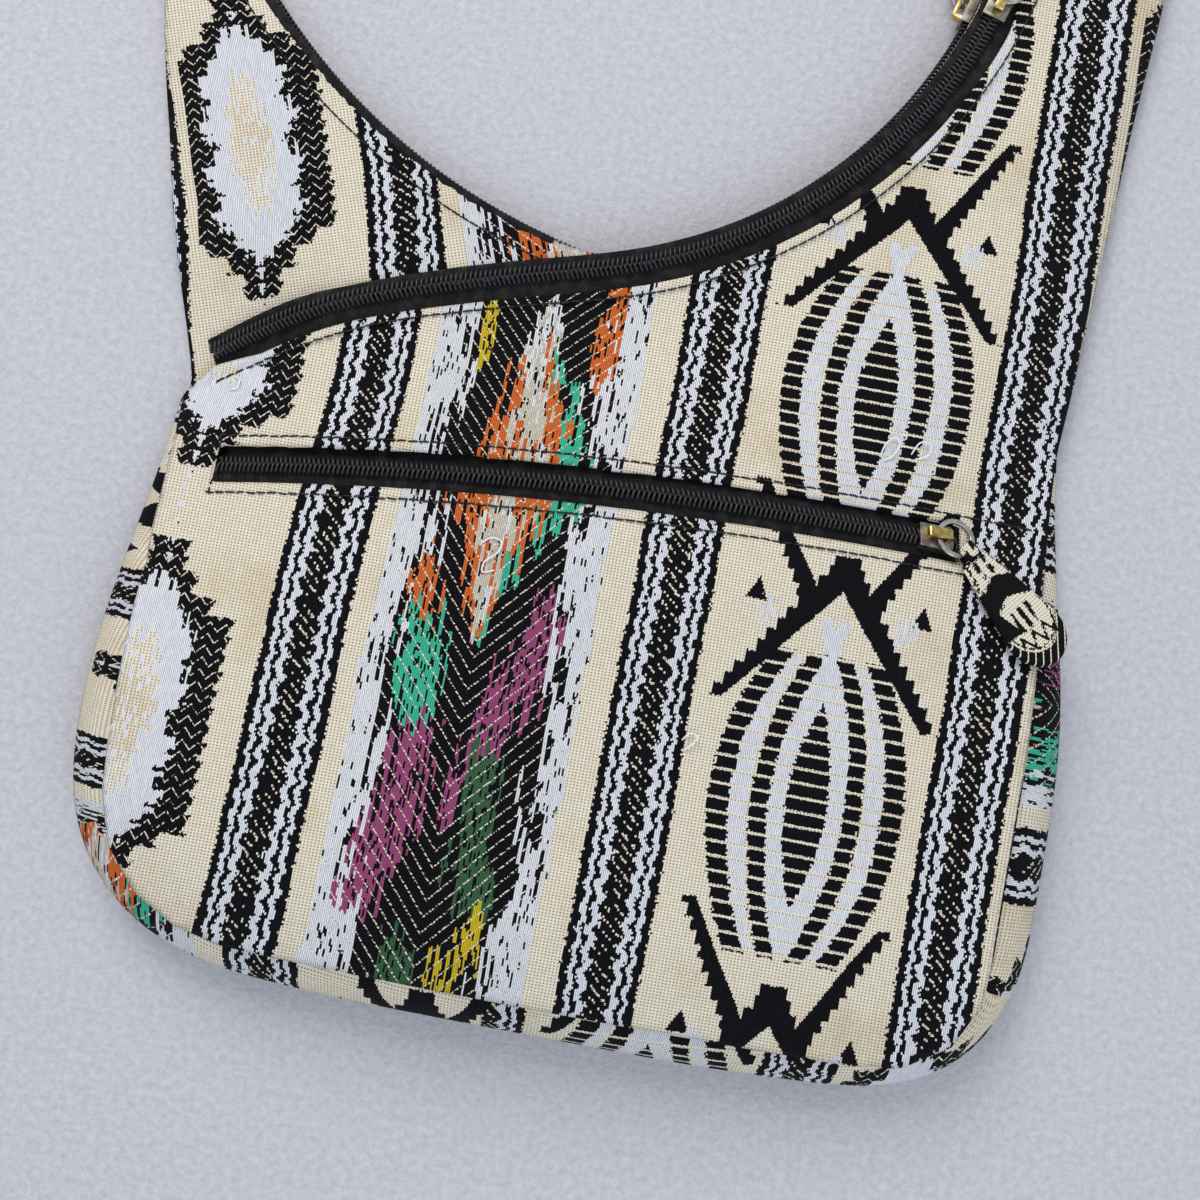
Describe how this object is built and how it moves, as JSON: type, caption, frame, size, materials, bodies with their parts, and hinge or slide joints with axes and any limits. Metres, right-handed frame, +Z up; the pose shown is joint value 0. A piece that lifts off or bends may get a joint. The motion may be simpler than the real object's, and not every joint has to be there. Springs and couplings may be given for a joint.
{
  "type": "woven cotton shoulder bag",
  "caption": "Soft hobo shoulder bag of patterned woven cotton lying on its back, with a V neck, a crossover front, a gusset, a strap and coil zips with cloth pulls.",
  "frame": {"origin": "on the underside of the back panel, where the bag rests, near the middle of its body", "axes": "+X to the right as seen from the front, +Y from the base towards the strap, +Z up from the back panel to the front"},
  "size_m": [0.3545, 0.5006, 0.042],
  "materials": {
    "woven_cotton": "matte handloom weave, patterned",
    "lining": "matte plain weave",
    "zip_tape": "matte ribbed weave",
    "zip_coil": "satin",
    "slider_metal": "plated, worn at the edges",
    "ring_metal": "worn"
  },
  "bodies": {
    "bag": {"back_panel": "woven_cotton", "inner_front_panel": "woven_cotton", "crossover_panel": "woven_cotton", "gusset": "woven_cotton", "strap_left": "woven_cotton", "strap_right": "woven_cotton", "pocket_bag": "lining", "pocket_tape_upper": "zip_tape", "pocket_coil_upper": "zip_coil", "pocket_tape_lower": "zip_tape", "pocket_coil_lower": "zip_coil", "crossover_tape_upper": "zip_tape", "crossover_coil_upper": "zip_coil", "crossover_tape_lower": "zip_tape", "crossover_coil_lower": "zip_coil", "mouth_tape_front": "zip_tape", "mouth_coil_front": "zip_coil", "mouth_tape_back": "zip_tape", "mouth_coil_back": "zip_coil"},
    "pocket_slider_body": {"pocket_slider": "slider_metal"},
    "pocket_pull_body": {"pocket_ring": "ring_metal", "pocket_pull": "woven_cotton"},
    "crossover_slider_body": {"crossover_slider": "slider_metal"},
    "crossover_pull_body": {"crossover_ring": "ring_metal", "crossover_pull": "woven_cotton"},
    "mouth_slider_body": {"mouth_slider": "slider_metal"},
    "mouth_pull_body": {"mouth_ring": "ring_metal", "mouth_pull": "woven_cotton"}
  },
  "joints": [
    {"name": "pocket_zip_run", "type": "hinge", "parent": "bag", "child": "pocket_slider_body", "pos_m": [0.01512, -0.04228, -0.37538], "axis": [0.0727, -0.9799, 0.1858], "range_deg": [0, 30.5]},
    {"name": "pocket_pull_swing", "type": "hinge", "parent": "pocket_slider_body", "child": "pocket_pull_body", "pos_m": [0.11335, 0.04179, 0.02644], "axis": [0.1008, -0.9481, 0.3017], "range_deg": [0, 160]},
    {"name": "crossover_zip_run", "type": "hinge", "parent": "bag", "child": "crossover_slider_body", "pos_m": [-0.054, 0.268, 0.0168], "axis": [0, 0, -1], "range_deg": [0, 52]},
    {"name": "crossover_pull_swing", "type": "hinge", "parent": "crossover_slider_body", "child": "crossover_pull_body", "pos_m": [0.10529, 0.22199, 0.02155], "axis": [0.9607, -0.2775, 0], "range_deg": [0, 160]},
    {"name": "mouth_zip_run", "type": "hinge", "parent": "bag", "child": "mouth_slider_body", "pos_m": [-0.054, 0.268, 0.0072], "axis": [0, 0, -1], "range_deg": [0, 46]},
    {"name": "mouth_pull_swing", "type": "hinge", "parent": "mouth_slider_body", "child": "mouth_pull_body", "pos_m": [0.09526, 0.22458, 0.0072], "axis": [0, 0, 1], "range_deg": [0, 120]}
  ]
}
